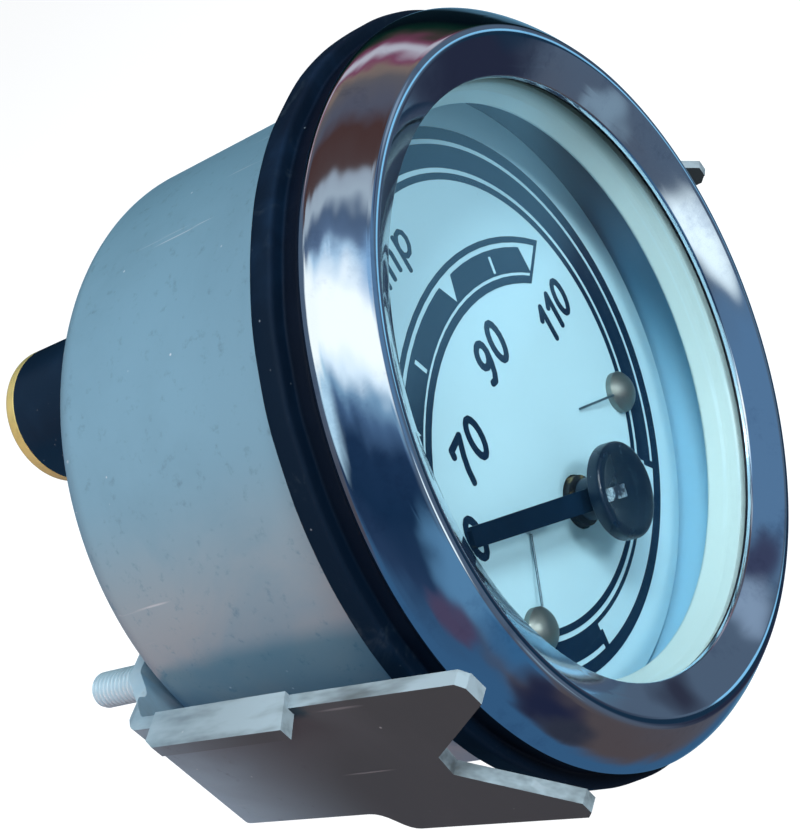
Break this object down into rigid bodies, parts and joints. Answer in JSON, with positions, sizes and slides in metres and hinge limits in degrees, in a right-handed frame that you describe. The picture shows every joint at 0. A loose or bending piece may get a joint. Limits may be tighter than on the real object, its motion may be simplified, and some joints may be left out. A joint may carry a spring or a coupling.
{
  "type": "panel temperature gauge",
  "caption": "Round panel-mounted temperature gauge with a chrome bezel, quarter-sweep pointer, plug-in lamp and rear clamp bracket.",
  "frame": {"origin": "on the gauge axis, in the plane where the rubber seal's rear face meets the panel", "axes": "the dial faces -Y, the dial's top is +Z, the dial's right is +X and the can runs to +Y"},
  "size_m": [0.0671, 0.052, 0.0582],
  "materials": {
    "chrome": "polished chrome plate",
    "zinc_sheet": "satin zinc plate with fine scratches",
    "rubber": "matt black rubber",
    "glass": "clear plane glass",
    "cream": "satin cream paint",
    "dial_white": "matt white paint",
    "print_black": "printed black ink",
    "steel": "bright steel",
    "brass": "plain brass",
    "copper": "enamelled copper winding",
    "magnet": "dark sintered magnet",
    "black_moulding": "black moulding with a soft sheen",
    "pointer_black": "satin black",
    "bobbin": "natural moulded plastic",
    "bright_strip": "bright aluminium foil"
  },
  "bodies": {
    "gauge": {"case": "zinc_sheet", "bezel": "chrome", "panel_seal": "rubber", "lens_gasket": "rubber", "lens": "glass", "reflector_ring": "cream", "dial_plate": "dial_white", "dial_print": "print_black", "dial_figures": "print_black", "dial_screws": "steel", "stop_wires": "steel", "dial_posts": "brass", "movement_plate": "steel", "plate_screws": "brass", "front_bush": "brass", "bobbin_front": "bobbin", "bobbin_rear": "bobbin", "upright_coil": "copper", "level_coil": "copper", "shield_can": "steel", "rear_bearing": "brass", "stud_left": "steel", "stud_right": "steel", "stud_spacers": "brass", "case_nuts": "steel", "terminal_insulator": "black_moulding", "terminal_blades": "brass"},
    "pointer": {"rotor_magnet": "magnet", "pointer_spindle": "steel", "pointer_hub": "pointer_black", "hub_strip": "bright_strip", "pointer_arm": "pointer_black"},
    "lamp": {"lamp_holder": "black_moulding", "lamp_ring": "brass", "lamp_contact": "brass", "bulb_base": "brass", "bulb_glass": "glass"},
    "bracket": {"clamp_bracket": "zinc_sheet", "clamp_washer": "steel"},
    "nut": {"clamp_nut": "brass"}
  },
  "joints": [
    {"name": "pointer_sweep", "type": "hinge", "parent": "gauge", "child": "pointer", "pos_m": [0, 0, -0.0111], "axis": [0, 1, 0], "range_deg": [0, 109]},
    {"name": "lamp_pull", "type": "slide", "parent": "gauge", "child": "lamp", "axis": [0, 1, 0], "range_m": [0, 0.0155]},
    {"name": "bracket_slide", "type": "slide", "parent": "gauge", "child": "bracket", "axis": [0, 1, 0], "range_m": [0, 0.008]},
    {"name": "nut_turn", "type": "hinge", "parent": "bracket", "child": "nut", "pos_m": [0.019, 0.0316, 0.0032], "axis": [0, 1, 0], "range_deg": [0, 5764]}
  ],
  "couplings": [
    {"joint": "nut_turn", "follows": "bracket_slide", "rad_per_m": 12566}
  ]
}
